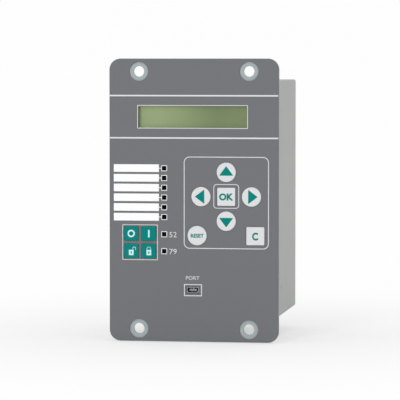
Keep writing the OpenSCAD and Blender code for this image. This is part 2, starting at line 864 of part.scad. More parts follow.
// Upright card that stands in its guides
module card(x) {
    translate([x - board_t / 2, card_front, -card_z]) cube([board_t, card_rear - card_front, 2 * card_z]);
}

module input_card() { color([0.06, 0.3, 0.16]) card(input_x); }
module output_card() { color([0.06, 0.3, 0.16]) card(output_x); }

// Grooved guides on the sleeve's top and bottom walls
module card_guides() {
    l = guide_rear - card_front;
    groove = board_t + 2 * groove_gap;
    color([0.2, 0.2, 0.22]) for (x = [input_x, output_x], up = [0, 1]) mirror([0, 0, up])
        translate([x, card_front, -inner_z]) difference() {
            translate([-guide_w / 2, 0, 0]) cube([guide_w, l, guide_h]);
            translate([-groove / 2, -over, guide_h - groove_depth]) cube([groove, l + 2 * over, guide_h]);
        }
}

// Even row about the middle
function spread(count, pitch) = [for (i = [0 : count - 1]) (i - (count - 1) / 2) * pitch];

// Ring transformers that measure the line currents
module ring_transformers() {
    y = card_front + part_gap + ring_d / 2;
    color([0.15, 0.22, 0.4]) for (z = spread(ring_count, ring_d + part_gap))
        translate([input_face, y, z]) rotate([0, 90, 0]) difference() {
            cylinder(h = ring_h, d = ring_d);
            translate([0, 0, -over]) cylinder(h = ring_h + 2 * over, d = ring_bore);
        }
}

// Output relays
module output_relays() {
    color([0.16, 0.3, 0.5]) for (z = spread(relay_count, relay_l + part_gap))
        translate([output_face, relay_y - relay_w / 2, z - relay_l / 2]) cube([relay_h, relay_w, relay_l]);
}

// Supply transformer, a core with its winding
module supply_transformer() {
    z = part_gap + core_l / 2;
    color([0.3, 0.28, 0.26]) {
        translate([output_face, core_y - core_w / 2, z - core_l / 2]) cube([core_h, core_w, core_l]);
        translate([output_face + core_h / 4, core_y - core_w / 2 - winding_out, z - core_l / 4])
            cube([core_h / 2, core_w + 2 * winding_out, core_l / 2]);
    }
}

// Supply capacitors
module supply_capacitors() {
    color([0.1, 0.12, 0.2]) for (i = [0 : cap_count - 1])
        translate([output_face, cap_y, -cap_d / 2 - i * (cap_d + part_gap)]) rotate([0, 90, 0])
            cylinder(h = cap_h, d = cap_d);
}

// Terminal block with a wire entry and a screw well for each pole
module terminal_block(x, z, poles, pitch, length) {
    difference() {
        post([x, z], block_front, block_face, block_w, length);
        for (dz = spread(poles, pitch)) {
            post([x + clamp_offset, z + dz], block_face - entry_depth, block_face + over, entry_w, entry_w);
            rod([x - clamp_offset, z + dz], clamp_face - clamp_l, block_face + over,
                clamp_d + 2 * thread_gap);
        }
    }
}

// Slotted screws of one terminal block
module clamp_screws(x, z, poles, pitch) {
    for (dz = spread(poles, pitch)) difference() {
        rod([x - clamp_offset, z + dz], clamp_face - clamp_l, clamp_face, clamp_d);
        post([x - clamp_offset, z + dz], clamp_face - slot_depth, clamp_face + over, clamp_d + over, slot_w);
    }
}

module current_terminals() {
    color([0.12, 0.13, 0.13]) terminal_block(current_x, 0, current_poles, current_pitch, current_l);
}

module current_screws() {
    color("silver") clamp_screws(current_x, 0, current_poles, current_pitch);
}

module signal_terminals() {
    color([0.16, 0.42, 0.24]) for (sz = [-1, 1])
        terminal_block(signal_x, sz * signal_mid, signal_poles, signal_pitch, signal_l);
}

module signal_screws() {
    color("silver") for (sz = [-1, 1]) clamp_screws(signal_x, sz * signal_mid, signal_poles, signal_pitch);
}

front_plate();
overlay_film();
display_window();
label_strips();
indicator_lenses();
key_up();
key_down();
key_left();
key_right();
key_confirm();
key_reset();
key_clear();
key_open();
key_close();
key_unlock();
key_lock();
plunger_up();
plunger_down();
plunger_left();
plunger_right();
plunger_confirm();
plunger_reset();
plunger_clear();
plunger_open();
plunger_close();
plunger_unlock();
plunger_lock();
switch_housings();
indicator_diodes();
operator_board();
standoffs();
board_screws();
display_bezel();
display_glass();
display_backlight();
display_board();
display_link();
port_shell();
port_tongue();
ribbon_cable();
ribbon_headers();
case_sleeve();
plate_studs();
stud_nuts();
rear_plate();
rear_screws();
earth_stud();
earth_washer();
earth_nut();
input_card();
output_card();
card_guides();
ring_transformers();
output_relays();
supply_transformer();
supply_capacitors();
current_terminals();
current_screws();
signal_terminals();
signal_screws();
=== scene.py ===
# %% [markdown]
# # A protection relay
# The relay is a steel box that hides behind a panel door. All that its user sees is a tall front plate
# with a dark printed film, a two-line display, keys and small indicator windows. Its solids come from a
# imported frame, in metres, and this lesson gives them their finishes, prints the film and lights the scene.

# %% Load the frame
import json
import math
from collections import namedtuple

import bmesh
import bpy
from mathutils import Matrix, Vector


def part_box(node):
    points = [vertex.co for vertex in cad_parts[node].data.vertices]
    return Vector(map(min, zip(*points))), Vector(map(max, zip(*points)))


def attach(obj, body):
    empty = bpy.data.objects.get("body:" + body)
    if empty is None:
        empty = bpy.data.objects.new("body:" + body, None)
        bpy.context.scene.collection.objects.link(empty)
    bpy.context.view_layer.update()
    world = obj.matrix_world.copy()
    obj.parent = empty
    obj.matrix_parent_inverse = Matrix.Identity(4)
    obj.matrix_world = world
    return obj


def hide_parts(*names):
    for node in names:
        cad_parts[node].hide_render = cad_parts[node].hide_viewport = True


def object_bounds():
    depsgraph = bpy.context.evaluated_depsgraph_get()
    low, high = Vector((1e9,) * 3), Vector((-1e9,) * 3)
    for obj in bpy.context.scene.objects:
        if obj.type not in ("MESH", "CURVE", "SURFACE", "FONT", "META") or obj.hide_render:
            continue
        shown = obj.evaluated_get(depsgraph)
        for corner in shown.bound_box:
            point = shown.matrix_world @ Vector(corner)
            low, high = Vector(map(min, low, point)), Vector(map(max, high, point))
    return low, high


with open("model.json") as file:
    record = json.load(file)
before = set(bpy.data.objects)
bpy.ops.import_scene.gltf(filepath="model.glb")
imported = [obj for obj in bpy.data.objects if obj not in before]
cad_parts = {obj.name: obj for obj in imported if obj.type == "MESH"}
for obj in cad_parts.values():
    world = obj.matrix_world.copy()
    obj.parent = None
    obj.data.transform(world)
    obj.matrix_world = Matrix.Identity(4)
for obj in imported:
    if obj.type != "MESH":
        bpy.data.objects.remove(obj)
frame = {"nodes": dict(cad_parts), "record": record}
cad_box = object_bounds()
nodes = frame["nodes"]
MM = 0.001
print("solids:", len(nodes), "size in mm:", [round(side / MM, 1) for side in cad_box[1] - cad_box[0]])

# %% [markdown]
# ## Camera
# A product picture of a flat front is taken from far away with a long lens, so that its edges stay nearly
# parallel. The camera stands to the right and a little above, and looks back and down at the plate. A lens
# shift could also lift the picture, but it would follow the camera to every other view, so it stays at zero.

# %% Camera
EYE = Vector((272.2, -1717.4, 89.5)) * MM
YAW, PITCH = math.radians(8.89), math.radians(2.94)
QUARTER_TURN = math.radians(90)
LENS_IN_PIXELS = 2786.6
PICTURE_SIDE = 400
SENSOR_MM = 36
CLIP_END = 100

camera_data = bpy.data.cameras.new("camera")
camera_data.sensor_width = SENSOR_MM
camera_data.lens = LENS_IN_PIXELS * SENSOR_MM / PICTURE_SIDE
camera_data.clip_end = CLIP_END
camera = bpy.data.objects.new("camera", camera_data)
camera.location = EYE
camera.rotation_euler = (QUARTER_TURN - PITCH, 0, YAW)
bpy.context.collection.objects.link(camera)
bpy.context.scene.camera = camera
print("lens in mm:", round(camera_data.lens, 1))

# %% [markdown]
# ## Shader sums as Python
# A finish is a small tree of nodes. Linking them by hand hides the idea, so one class wraps a socket and
# turns Python's own operators into Math nodes. One method adds every other kind of node: settings go in
# first, then each input gets a number or a link.

# %% A socket that can be added and multiplied
class Wire:
    """A socket in a shader tree, or just the tree while no socket is chosen."""

    def __init__(self, tree, socket=None):
        self.tree = tree
        self.socket = socket

    def node(self, kind, settings=None, inputs=None, out=0):
        """Adds a node and gives back one of its outputs."""
        made = self.tree.nodes.new("ShaderNode" + kind)
        for name, value in (settings or {}).items():
            setattr(made, name, value)
        for key, value in (inputs or {}).items():
            if isinstance(value, Wire):
                self.tree.links.new(value.socket, made.inputs[key])
            else:
                made.inputs[key].default_value = value
        return Wire(self.tree, made.outputs[out] if made.outputs else None)

    def also(self, out):
        """Another output of the node that this socket belongs to."""
        return Wire(self.tree, self.socket.node.outputs[out])

    def math(self, operation, left, right=0.0):
        return self.node("Math", {"operation": operation}, {0: left, 1: right})

    def __add__(self, other):
        return self.math("ADD", self, other)

    def __radd__(self, other):
        return self.math("ADD", other, self)

    def __sub__(self, other):
        return self.math("SUBTRACT", self, other)

    def __rsub__(self, other):
        return self.math("SUBTRACT", other, self)

    def __mul__(self, other):
        return self.math("MULTIPLY", self, other)

    def __rmul__(self, other):
        return self.math("MULTIPLY", other, self)

    def __gt__(self, other):
        return self.math("GREATER_THAN", self, other)

    def __lt__(self, other):
        return self.math("LESS_THAN", self, other)


print("wire class ready")

# %% [markdown]
# ## Colours
# Paint and print colours are easiest to name as the numbers that a colour picker shows. Blender works with
# light itself, so each number goes through the display curve once. Colours are mixed with a Mix node, because
# a Math node would turn them grey.

# %% Colour helpers
CURVE_START, CURVE_SLOPE, CURVE_LIFT, CURVE_POWER = 0.04045, 12.92, 0.055, 2.4
MIX_SHARE, MIX_FIRST, MIX_SECOND, MIX_RESULT = 0, 6, 7, 2
WHITE, BLACK = (1, 1, 1, 1), (0, 0, 0, 1)


def tone(red, green, blue):
    """A colour-picker colour as linear light."""
    parts = []
    for level in (red, green, blue):
        share = level / 255
        if share <= CURVE_START:
            parts.append(share / CURVE_SLOPE)
        else:
            parts.append(((share + CURVE_LIFT) / (1 + CURVE_LIFT)) ** CURVE_POWER)
    return (*parts, 1)


def blend(wire, share, first, second):
    """Two colours mixed by a share that varies over the surface."""
    inputs = {MIX_SHARE: share, MIX_FIRST: first, MIX_SECOND: second}
    return wire.node("Mix", {"data_type": "RGBA"}, inputs, MIX_RESULT)


def shift(colour, factor):
    """A colour made lighter or darker."""
    return (*(min(1, level * factor) for level in colour[:3]), 1)


FILM_GREY = tone(112, 113, 117)
print("film grey as light:", [round(level, 3) for level in FILM_GREY[:3]])

# %% [markdown]
# ## What all finishes share
# Every finish starts as an empty tree and ends in one principled surface. Between them stands noise in the
# object's own coordinates, which are metres here, so a scale of 4000 gives a grain of a quarter of a
# millimetre. A picture could hold the grain too, but each piece would have to be unwrapped for it.

# %% Finish helpers
finishes = {}


def start_finish(name):
    """A new material, kept under its name, as an empty tree."""
    material = bpy.data.materials.new(name)
    material.use_nodes = True
    material.node_tree.nodes.clear()
    finishes[name] = material
    return Wire(material.node_tree)


def own_place(wire):
    """Where a point lies in the object's own metres."""
    return wire.node("TexCoord", out="Object")


def noise(wire, scale, detail=2.0):
    """Noise over the object's own metres."""
    return wire.node("TexNoise", inputs={"Vector": own_place(wire), "Scale": scale, "Detail": detail})


def bump(wire, height, depth):
    """Raises and lowers the surface by a height between 0 and 1."""
    return wire.node("Bump", inputs={"Height": height, "Distance": depth, "Strength": 1.0})


def close_finish(wire, **inputs):
    """Ends a tree in one principled surface."""
    named = {name.replace("_", " "): value for name, value in inputs.items()}
    surface = wire.node("BsdfPrincipled", inputs=named)
    wire.node("OutputMaterial", inputs={"Surface": surface})


print("finish helpers ready")

# %% [markdown]
# ## Moulded, printed and painted finishes
# Real film, powder paint and moulded plastic are never one even colour. Each has a fine grain that scatters
# light, and a slow drift in shade. They could be built one by one, but they differ only in a few numbers, so
# one function makes them all and a row gives the numbers of each.

# %% Grainy finishes
DRIFT_SCALE, DRIFT_DETAIL = 45, 3
GRAIN_ROUGH = 0.12


def grainy(name, colour, rough, grain=4000, depth=0.008 * MM, drift=0.03, gloss=0.5):
    """Film, paint, paper or moulded plastic."""
    wire = start_finish(name)
    slow = noise(wire, DRIFT_SCALE, DRIFT_DETAIL)
    fine = noise(wire, grain)
    close_finish(
        wire,
        Base_Color=blend(wire, slow, shift(colour, 1 - drift), shift(colour, 1 + drift)),
        Roughness=rough + GRAIN_ROUGH * (fine - 0.5),
        Specular_IOR_Level=gloss,
        Normal=bump(wire, fine, depth),
    )


grainy("film", FILM_GREY, 0.6, grain=5000, depth=0.006 * MM, drift=0.012, gloss=0.2)
grainy("plate_paint", tone(159, 169, 170), 0.5, grain=2200, depth=0.012 * MM)
grainy("case_paint", tone(180, 182, 180), 0.55, grain=2200, depth=0.012 * MM, gloss=0.35)
grainy("label_white", tone(252, 252, 252), 0.6, grain=3000, depth=0.004 * MM, drift=0.008, gloss=0.3)
grainy("key_white", tone(218, 219, 220), 0.45, drift=0.012, depth=0.005 * MM, gloss=0.3)
grainy("key_green", tone(0, 130, 123), 0.5, depth=0.005 * MM, gloss=0.05)
grainy("ink_light", tone(222, 223, 226), 0.5, drift=0.012, depth=0.003 * MM, gloss=0.3)
grainy("ink_white", tone(206, 240, 239), 0.5, drift=0.008, depth=0.003 * MM, gloss=0.3)
grainy("ink_green", tone(0, 130, 121), 0.5, depth=0.003 * MM, gloss=0.05)
grainy("switch_ivory", tone(222, 216, 196), 0.45)
grainy("black_plastic", tone(34, 35, 37), 0.42, grain=2600)
grainy("port_plastic", tone(132, 137, 144), 0.45, grain=2600)
grainy("terminal_green", tone(44, 116, 66), 0.42, grain=2600)
grainy("relay_plastic", tone(40, 78, 130), 0.4, grain=2600)
grainy("ribbon_grey", tone(160, 162, 166), 0.5, grain=2600)
grainy("backlight_plastic", tone(226, 230, 208), 0.4)
grainy("black_metal", tone(24, 24, 26), 0.45, grain=2200)
print("grainy finishes:", len(finishes))

# %% [markdown]
# ## Glossy finishes
# The smoked lenses, the cast resin and the shrink sleeves are smooth. A low roughness alone would look like
# a computer's perfect mirror. So a thin clear coat gives the sharp highlight, and a faint noise clouds the
# surface under it.

# %% Glossy finishes
CLOUD_SCALE, CLOUD_DETAIL, CLOUD_ROUGH = 160, 3, 0.08
RIPPLE_SCALE, RIPPLE_DEPTH = 900, 0.002 * MM
COAT_ROUGH = 0.06


def glossy(name, colour, rough=0.12, coat=0.4, drift=0.06, gloss=0.5):
    """Smooth cast or moulded surface with a clear skin."""
    wire = start_finish(name)
    cloud = noise(wire, CLOUD_SCALE, CLOUD_DETAIL)
    close_finish(
        wire,
        Base_Color=blend(wire, cloud, shift(colour, 1 - drift), shift(colour, 1 + drift)),
        Roughness=rough + CLOUD_ROUGH * cloud,
        Specular_IOR_Level=gloss,
        Coat_Weight=coat,
        Coat_Roughness=COAT_ROUGH,
        Normal=bump(wire, noise(wire, RIPPLE_SCALE), RIPPLE_DEPTH),
    )


glossy("smoked_lens", tone(4, 4, 5), rough=0.3, coat=0.0, gloss=0.02)
glossy("diode_plastic", tone(176, 52, 42))
glossy("ring_resin", tone(38, 56, 102))
glossy("capacitor_sleeve", tone(28, 32, 52))
glossy("amber_film", tone(188, 132, 54), coat=0.2)
print("glossy finishes done, all so far:", len(finishes))

# %% [markdown]
# ## Metals
# Zinc, nickel and brass reflect their surroundings, so what matters is how they blur them. A brushed look
# could come from the shader's anisotropy, which needs tangents on every piece. Noise stretched along one axis
# gives the fine drawn lines that turning and rolling leave behind without them.

# %% Metals
DRAWN_SCALE = (400, 6000, 6000)
DRAWN_DETAIL, DRAWN_ROUGH, DRAWN_DEPTH = 3.0, 0.16, 0.003 * MM
STAIN_SCALE, STAIN_DETAIL = 220, 3
STAIN_DARK, STAIN_LIGHT = 0.9, 1.06


def plated(name, colour, rough):
    """Bare or plated metal with drawn lines."""
    wire = start_finish(name)
    along = wire.node("Mapping", inputs={"Vector": own_place(wire), "Scale": DRAWN_SCALE})
    lines = wire.node("TexNoise", inputs={"Vector": along, "Scale": 1.0, "Detail": DRAWN_DETAIL})
    stain = noise(wire, STAIN_SCALE, STAIN_DETAIL)
    close_finish(
        wire,
        Base_Color=blend(wire, stain, shift(colour, STAIN_DARK), shift(colour, STAIN_LIGHT)),
        Metallic=1.0,
        Roughness=rough + DRAWN_ROUGH * (lines - 0.5),
        Normal=bump(wire, lines, DRAWN_DEPTH),
    )


plated("zinc_steel", tone(198, 200, 202), 0.34)
plated("port_metal", tone(150, 152, 156), 0.52)
plated("earth_brass", tone(206, 170, 96), 0.3)
plated("core_steel", tone(84, 80, 76), 0.5)
print("metals done, all so far:", len(finishes))

# %% [markdown]
# ## Circuit board
# A board is green lacquer over copper tracks. The tracks show as slightly lighter lines with raised edges.
# Modelled tracks would be thousands of faces on boards that are seen only when the case is open. A brick
# pattern with wide mortar gives long straight tracks with steps, which is close enough.

# %% Circuit board
TRACK_W, TRACK_RUN, TRACK_PITCH, TRACK_H = 0.4 * MM, 11 * MM, 2.4 * MM, 0.03 * MM
TRACK_STEP, TRACK_SQUASH = 0.37, 1.4
ACROSS_THE_BOARD = (QUARTER_TURN, 0, QUARTER_TURN)
LACQUER_ROUGH, LACQUER_HAZE, LACQUER_SCALE = 0.3, 0.1, 300


def lacquered_board(name, lacquer, track):
    """Lacquer over tracks that stand a little proud."""
    wire = start_finish(name)
    turned = wire.node("Mapping", inputs={"Vector": own_place(wire), "Rotation": ACROSS_THE_BOARD})
    tracks = wire.node(
        "TexBrick",
        {"offset": TRACK_STEP, "squash": TRACK_SQUASH},
        {"Vector": turned, "Color1": BLACK, "Color2": BLACK, "Mortar": WHITE, "Scale": 1.0,
         "Mortar Size": TRACK_W, "Brick Width": TRACK_RUN, "Row Height": TRACK_PITCH},
        out="Fac",
    )
    close_finish(
        wire,
        Base_Color=blend(wire, tracks, lacquer, track),
        Roughness=LACQUER_ROUGH + LACQUER_HAZE * noise(wire, LACQUER_SCALE),
        Normal=bump(wire, tracks, TRACK_H),
    )


lacquered_board("circuit_board", tone(22, 82, 46), tone(38, 116, 66))
print("board finish done, all so far:", len(finishes))

# %% [markdown]
# ## Display
# The display is a yellow-green glass that mostly reflects light, with a weak lamp behind it. Its colour is
# painted paler on the left, where more light falls, and darker to the right: a painted falloff of light. It
# is also darker in a soft patch near the top, right of the middle. Its unlit cells leave a trace of two rows
# of blocks. A lamp inside the model would need many bounces to show, so the face itself gives off a small
# share of its colour. That glow stands for the lamp, and it also fills the shade at the edges of the recess,
# which is painted light.

# %% Display
display_low, display_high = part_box("display_glass")
PALE_END, DEEP_START = 2 * MM, 56 * MM
DIM_ACROSS, DIM_DOWN = 50 * MM, 4 * MM
DIM_REACH, DIM_SHARE = 20 * MM, 0.25
DIM_SPOT = (display_low.x + DIM_ACROSS, display_low.y, display_high.z - DIM_DOWN)
DISPLAY_DARK = tone(70, 84, 52)
CELL_W, CELL_H, CELL_UP, CELL_TRACE = 3.55 * MM, 6.3 * MM, 0.32, 0.03
CELL_LEFT, CELL_RIGHT, CELL_FOOT, CELL_TOP = 0.14, 0.86, 0.1, 0.9
GLASS_ROUGH, GLASS_HAZE, GLASS_SCALE, GLASS_GLOSS = 0.4, 0.06, 700, 0.2
# Share of the face that glows. It stands for the weak lamp behind the glass, and it also fills the shade at
# the edges of the recess, which is painted light.
BACKLIGHT_AND_FILL_GLOW = 0.3


def ease(wire, value, start, end, first, last):
    """Goes smoothly from a first to a last level while a value goes from start to end."""
    inputs = {"Value": value, "From Min": start, "From Max": end, "To Min": first, "To Max": last}
    return wire.node("MapRange", {"interpolation_type": "SMOOTHSTEP"}, inputs)


def display_face(name, pale, deep):
    """Backlit glass with a trace of its unlit cells, a painted falloff of light from left to right, and a
    glow that also fills shade.
    """
    wire = start_finish(name)
    place = own_place(wire)
    across = wire.node("SeparateXYZ", inputs={"Vector": place}, out="X")
    away = wire.node("VectorMath", {"operation": "DISTANCE"}, {0: place, 1: DIM_SPOT}, out="Value")
    # Painted falloff of light: the glass is paler on the left, where light falls, and darker to the right.
    painted_falloff = ease(wire, across, display_low.x + PALE_END, display_low.x + DEEP_START, 0.0, 1.0)
    # Darker in a soft patch near the top, right of the middle.
    dimmer = ease(wire, away, 0.0, DIM_REACH, DIM_SHARE, 0.0)
    column = wire.math("FRACT", across * (1 / CELL_W))
    row = wire.math("FRACT", across.also("Z") * (1 / CELL_H) + CELL_UP)
    cell = (column > CELL_LEFT) * (column < CELL_RIGHT) * (row > CELL_FOOT) * (row < CELL_TOP)
    ground = blend(wire, dimmer, blend(wire, painted_falloff, pale, deep), DISPLAY_DARK)
    face = blend(wire, CELL_TRACE * cell, ground, DISPLAY_DARK)
    close_finish(
        wire,
        Base_Color=blend(wire, BACKLIGHT_AND_FILL_GLOW, face, BLACK),
        Roughness=GLASS_ROUGH + GLASS_HAZE * noise(wire, GLASS_SCALE),
        Specular_IOR_Level=GLASS_GLOSS,
        Emission_Color=blend(wire, BACKLIGHT_AND_FILL_GLOW, BLACK, face),
        Emission_Strength=1.0,
    )


display_face("display_green", tone(149, 167, 115), tone(115, 133, 82))
print("display glass in mm:", [round(side / MM, 1) for side in display_high - display_low])

# %% [markdown]
# ## Window over the display
# The clear window is a part of the film. A true glass shader would bend the light and need many bounces to
# let it in and out again. A film this thin bends nothing, so a low alpha is enough: light passes in both
# directions, and a faint haze and gloss stay on the surface.

# %% Window over the display
HAZE_SCALE, HAZE_DETAIL, HAZE_DARK = 60, 3, 0.94
PANE_ROUGH, PANE_ROUGH_HAZE = 0.1, 0.05
PANE_ALPHA, PANE_ALPHA_HAZE = 0.02, 0.015


def clear_pane(name, tint):
    """Thin clear film with a faint haze."""
    wire = start_finish(name)
    haze = noise(wire, HAZE_SCALE, HAZE_DETAIL)
    close_finish(
        wire,
        Base_Color=blend(wire, haze, tint, shift(tint, HAZE_DARK)),
        Roughness=PANE_ROUGH + PANE_ROUGH_HAZE * haze,
        Alpha=PANE_ALPHA + PANE_ALPHA_HAZE * haze,
    )


clear_pane("clear_window", tone(232, 238, 230))
print("finishes in all:", len(finishes))

# %% [markdown]
# ## Dress the solids
# The record of the part names a material slot for every solid. The finishes above carry the same names, so
# instead of a line for each solid, one loop can put each finish on its solids.

# %% Dress the solids
slot_of_node = {row["node"]: row["material_slot"] for row in frame["record"]["subparts"]}
for node_name, solid in nodes.items():
    solid.data.materials.clear()
    solid.data.materials.append(finishes[slot_of_node[node_name]])
print("dressed:", len(slot_of_node), "solids with", len(set(slot_of_node.values())), "finishes")

# %% [markdown]
# ## Soft edges
# Cut sheet and moulded blocks never have edges of zero radius: a fine bright line along each edge is what
# makes them look real. The solids arrive as loose triangles, so a Weld joins them first and a Decimate melts
# the triangles of each flat face together. Then a Bevel rounds what is sharper than 40 degrees, and Weighted
# Normal keeps the flat faces flat. As modifiers, they leave the solids themselves as they were.

# %% Soft edges
WELD_REACH = 0.001 * MM
FLAT_WITHIN, SHARP_FROM = math.radians(0.5), math.radians(40)
EDGE_SEGMENTS = 2
SOFT_EDGES = {
    "front_plate": 0.25 * MM,
    "overlay_film": 0.06 * MM,
    "case_sleeve": 0.2 * MM,
    "rear_plate": 0.25 * MM,
    "current_terminals": 0.25 * MM,
    "signal_terminals": 0.25 * MM,
    "rear_screws": 0.2 * MM,
    "earth_nut": 0.25 * MM,
    "earth_washer": 0.15 * MM,
    "port_shell": 0.08 * MM,
}


def keep_flat(piece):
    """Lets large flat faces decide how the edges beside them are shaded."""
    flat = piece.modifiers.new("flat", "WEIGHTED_NORMAL")
    flat.keep_sharp = False


def soften(solid, width):
    """Rounds the sharp edges of a solid."""
    weld = solid.modifiers.new("join", "WELD")
    weld.merge_threshold = WELD_REACH
    melt = solid.modifiers.new("melt", "DECIMATE")
    melt.decimate_type = "DISSOLVE"
    melt.angle_limit = FLAT_WITHIN
    bevel = solid.modifiers.new("edge", "BEVEL")
    bevel.width = width
    bevel.segments = EDGE_SEGMENTS
    bevel.limit_method = "ANGLE"
    bevel.angle_limit = SHARP_FROM
    keep_flat(solid)


for node_name, width in SOFT_EDGES.items():
    soften(nodes[node_name], width)
print("softened:", len(SOFT_EDGES))

# %% [markdown]
# ## Outlines
# Frames, symbols and key tops are all flat outlines with some thickness. Blender's curves could draw them,
# but plain lists of points are easy to move, turn and count. One helper walks round a rectangle with round
# corners, and another along an arc.

# %% Outlines
def rounded_loop(middle, size, radius, steps=6):
    """Points round a rectangle with round corners, as seen from the front."""
    points = []
    for corner, (side_x, side_z) in enumerate(((1, 1), (-1, 1), (-1, -1), (1, -1))):
        turn_x = middle[0] + side_x * (size[0] / 2 - radius)
        turn_z = middle[1] + side_z * (size[1] / 2 - radius)
        for step in range(steps + 1):
            angle = QUARTER_TURN * (corner + step / steps)
            points.append((turn_x + radius * math.cos(angle), turn_z + radius * math.sin(angle)))
    return points


def arc(middle, radius, start, end, steps):
    """Points along part of a circle, with angles in degrees from the right, going up."""
    points = []
    for step in range(steps + 1):
        angle = math.radians(start + (end - start) * step / steps)
        points.append((middle[0] + radius * math.cos(angle), middle[1] + radius * math.sin(angle)))
    return points


def circle(middle, radius, steps=48):
    """Points round a full circle."""
    return arc(middle, radius, 0, 360, steps)[:-1]


def moved(point, across, up):
    """A point moved across and up."""
    return (point[0] + across, point[1] + up)


print("points on a circle:", len(circle((0, 0), MM)))

# %% [markdown]
# ## Solids from outlines
# A flat face with nothing behind it flickers where it lies on another face, and it can't be measured. So each
# outline becomes a closed solid, however thin. Bmesh builds it directly, without the modes and selections
# that Blender's operators would need.

# %% Solids from outlines
def wall(mesh, first, second):
    """Faces between two rings of points."""
    for index in range(len(first)):
        after = (index + 1) % len(first)
        mesh.faces.new((first[index], first[after], second[after], second[index]))


def add_stack(mesh, rings):
    """A closed solid through rings that lie one behind another."""
    for near, far in zip(rings, rings[1:]):
        wall(mesh, near, far)
    mesh.faces.new(rings[0])
    mesh.faces.new(rings[-1])


def add_sheet(mesh, loops, front, back):
    """A flat solid between two depths: one loop is filled, a second one cuts its inside out."""
    rings = []
    for loop in loops:
        near = [mesh.verts.new((x, front, z)) for x, z in loop]
        far = [mesh.verts.new((x, back, z)) for x, z in loop]
        rings.append((near, far))
    if len(rings) == 1:
        add_stack(mesh, rings[0])
        return
    (near, far), (inner_near, inner_far) = rings
    wall(mesh, near, far)
    wall(mesh, inner_near, inner_far)
    wall(mesh, near, inner_near)
    wall(mesh, far, inner_far)


def place_piece(name, data, body, finish):
    """Puts a mesh into the scene as a piece that rides on a body."""
    data.materials.clear()
    data.materials.append(finishes[finish])
    piece = bpy.data.objects.new(name, data)
    bpy.context.collection.objects.link(piece)
    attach(piece, body)
    return piece


def add_piece(name, mesh, body, finish):
    """Turns a working mesh into a piece."""
    bmesh.ops.recalc_face_normals(mesh, faces=mesh.faces)
    data = bpy.data.meshes.new(name)
    mesh.to_mesh(data)
    mesh.free()
    return place_piece(name, data, body, finish)


def smooth_walls(piece):
    """Shades the walls of a stack round, and leaves its two ends flat."""
    for face in piece.data.polygons:
        face.use_smooth = len(face.vertices) == 4


print("solid helpers ready")

# %% [markdown]
# ## Places of the keys
# Each key is a flat cap on a stem that reaches the switch behind the plate. Its place could be typed in, but
# the frame knows where the plain solids of the keys are, so nothing is measured twice. The new key tops stand
# back by a few hundredths of a millimetre, so that the print on them stays inside the box of the solids.

# %% Places of the keys
KEY_PRINT = 0.045 * MM
GREEN_KEYS = ("open", "close", "unlock", "lock")
ROUND_KEYS = ("up", "down", "left", "right", "reset")
KEY_NAMES = ROUND_KEYS + ("confirm", "clear") + GREEN_KEYS
KeyPlace = namedtuple("KeyPlace", "middle width front stem_end")


def face_middle(box):
    """Middle of a box in x and z, as seen from the front."""
    low, high = box
    return ((low.x + high.x) / 2, (low.z + high.z) / 2)


def key_place(key):
    """Where a key is, with a front that leaves room for its print."""
    low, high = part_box("key_" + key)
    return KeyPlace(face_middle((low, high)), high.x - low.x, low.y + KEY_PRINT, high.y)


print("widths in mm:", {key: round(key_place(key).width / MM, 2) for key in ("up", "confirm", "open")})

# %% [markdown]
# ## Key tops
# The plain solid of a key has a knife edge, and a real key's edge is what catches the light. A Bevel would
# also round the stem and the back, so each key is built again as a stack of outlines that draw in towards the
# front. It takes the place of its solid.

# %% Key tops
EDGE, EDGE_STEPS = 0.22 * MM, 4
STEM_R, STEM_GRIP, STEM_STEPS = 2.25 * MM, 0.2 * MM, 32
SQUARE_CORNER, COMMAND_CORNER, LEAST_CORNER = 0.7 * MM, 0.5 * MM, 0.1 * MM
ROUND_STEPS = 64
KEY_LIFT = 0.5 * MM
key_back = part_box("front_plate")[0].y - KEY_LIFT


def key_loop(key, place, inset):
    """Outline of a key, drawn in by an inset."""
    if key in ROUND_KEYS:
        return circle(place.middle, place.width / 2 - inset, ROUND_STEPS)
    corner = COMMAND_CORNER if key in GREEN_KEYS else SQUARE_CORNER
    side = place.width - 2 * inset
    return rounded_loop(place.middle, (side, side), max(corner - inset, LEAST_CORNER))


def make_key(key):
    """A key with a round edge, on its stem."""
    place = key_place(key)
    levels = [(0, key_back)]
    for step in range(EDGE_STEPS + 1):
        turn = QUARTER_TURN * step / EDGE_STEPS
        levels.append((EDGE * (1 - math.cos(turn)), place.front + EDGE * (1 - math.sin(turn))))
    mesh = bmesh.new()
    rings = []
    for inset, depth in levels:
        rings.append([mesh.verts.new((x, depth, z)) for x, z in key_loop(key, place, inset)])
    add_stack(mesh, rings)
    add_sheet(mesh, [circle(place.middle, STEM_R, STEM_STEPS)], key_back - STEM_GRIP, place.stem_end)
    slot = "key_green" if key in GREEN_KEYS else "key_white"
    piece = add_piece(key + "_key_top", mesh, key + "_key", slot)
    smooth_walls(piece)
    keep_flat(piece)
    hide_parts("key_" + key)


for key in KEY_NAMES:
    make_key(key)
print("keys:", len(KEY_NAMES))

# %% [markdown]
# ## Ink
# Frames, rules and symbols are ink on the film. A texture could hold them, but an outline of ink a few
# hundredths of a millimetre thick stays sharp at any distance and needs no picture file. A frame is two
# outlines, one inside the other. The ink starts just under the surface, so that no gap shows below it.

# %% Ink
INK, SUNK = 0.03 * MM, 0.01 * MM
HAIR_CORNER = 0.05 * MM


def print_shapes(name, shapes, surface, body="relay", finish="ink_light",
                 lift=0.0, facing=-1):
    """Ink shapes on a face that looks to the front (-1) or to the back (1)."""
    mesh = bmesh.new()
    for loops in shapes:
        add_sheet(mesh, loops, surface + facing * (INK + lift), surface - facing * SUNK)
    return add_piece(name, mesh, body, finish)


